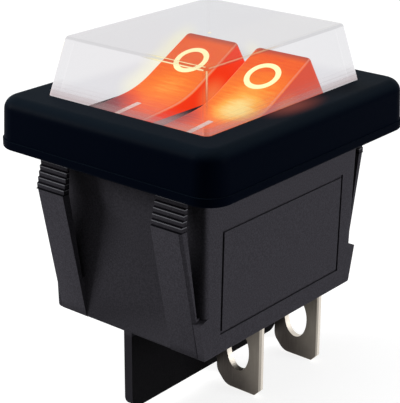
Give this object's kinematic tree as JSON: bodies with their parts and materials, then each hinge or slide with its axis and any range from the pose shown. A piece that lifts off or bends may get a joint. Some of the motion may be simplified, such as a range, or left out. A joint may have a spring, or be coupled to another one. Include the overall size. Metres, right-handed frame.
{
  "type": "panel rocker switch",
  "caption": "Illuminated twin rocker switch for a panel cut-out, with a waterproof cover, snap wings and blade terminals.",
  "frame": {"origin": "centre of the panel cut-out, on the panel's outer face, where the cover's rim seats", "axes": "+Z out of the panel towards the user, Y along the rockers' long way with the I marks at -Y, X across both rockers"},
  "size_m": [0.0298, 0.0346, 0.0408],
  "materials": {
    "housing_nylon": "fine spark-eroded texture",
    "seal_rubber": "satin",
    "clear_vinyl": "clear, slightly frosted",
    "red_lens": "translucent gloss",
    "mark_ink": "satin",
    "plunger_nylon": "smooth",
    "spring_steel": "drawn wire",
    "contact_copper": "stamped strip",
    "contact_silver": "polished",
    "tinned_brass": "tin plated, stamped",
    "lamp_glass": "clear, glowing",
    "tray_board": "laminate",
    "resistor_lacquer": "lacquered",
    "tinned_wire": "bare drawn wire"
  },
  "bodies": {
    "switch_housing": {"housing": "housing_nylon", "seal_frame": "seal_rubber", "clear_dome": "clear_vinyl", "left_center_terminal": "tinned_brass", "left_far_terminal": "tinned_brass", "left_fixed_contact": "contact_silver", "left_lamp": "lamp_glass", "left_lamp_tray": "tray_board", "left_resistor": "resistor_lacquer", "left_lamp_leads": "tinned_wire", "right_center_terminal": "tinned_brass", "right_far_terminal": "tinned_brass", "right_fixed_contact": "contact_silver", "right_lamp": "lamp_glass", "right_lamp_tray": "tray_board", "right_resistor": "resistor_lacquer", "right_lamp_leads": "tinned_wire"},
    "left_rocker": {"left_rocker": "red_lens", "left_rocker_marks": "mark_ink", "left_plunger_spring": "spring_steel"},
    "left_plunger": {"left_plunger": "plunger_nylon"},
    "left_contact_bar": {"left_contact_bar": "contact_copper", "left_moving_contact": "contact_silver"},
    "right_rocker": {"right_rocker": "red_lens", "right_rocker_marks": "mark_ink", "right_plunger_spring": "spring_steel"},
    "right_plunger": {"right_plunger": "plunger_nylon"},
    "right_contact_bar": {"right_contact_bar": "contact_copper", "right_moving_contact": "contact_silver"}
  },
  "joints": [
    {"name": "left_rocker_hinge", "type": "hinge", "parent": "switch_housing", "child": "left_rocker", "pos_m": [-0.0049, 0, -0.00194], "axis": [1, 0, 0], "range_deg": [-32, 0]},
    {"name": "left_bar_hinge", "type": "hinge", "parent": "switch_housing", "child": "left_contact_bar", "pos_m": [-0.0049, 0, -0.0154], "axis": [1, 0, 0], "range_deg": [0, 10]},
    {"name": "left_plunger_slide", "type": "slide", "parent": "left_rocker", "child": "left_plunger", "axis": [0, -0.2756, 0.9613], "range_m": [0, 0.0008], "stiffness_N_per_m": 600, "springref_m": -0.0008, "deforming": ["left_plunger_spring"]},
    {"name": "right_rocker_hinge", "type": "hinge", "parent": "switch_housing", "child": "right_rocker", "pos_m": [0.0049, 0, -0.00194], "axis": [1, 0, 0], "range_deg": [-32, 0]},
    {"name": "right_bar_hinge", "type": "hinge", "parent": "switch_housing", "child": "right_contact_bar", "pos_m": [0.0049, 0, -0.0154], "axis": [1, 0, 0], "range_deg": [0, 10]},
    {"name": "right_plunger_slide", "type": "slide", "parent": "right_rocker", "child": "right_plunger", "axis": [0, -0.2756, 0.9613], "range_m": [0, 0.0008], "stiffness_N_per_m": 600, "springref_m": -0.0008, "deforming": ["right_plunger_spring"]}
  ],
  "couplings": [
    {"joint": "left_bar_hinge", "follows": "left_rocker_hinge", "ratio": -0.3125},
    {"joint": "right_bar_hinge", "follows": "right_rocker_hinge", "ratio": -0.3125}
  ]
}
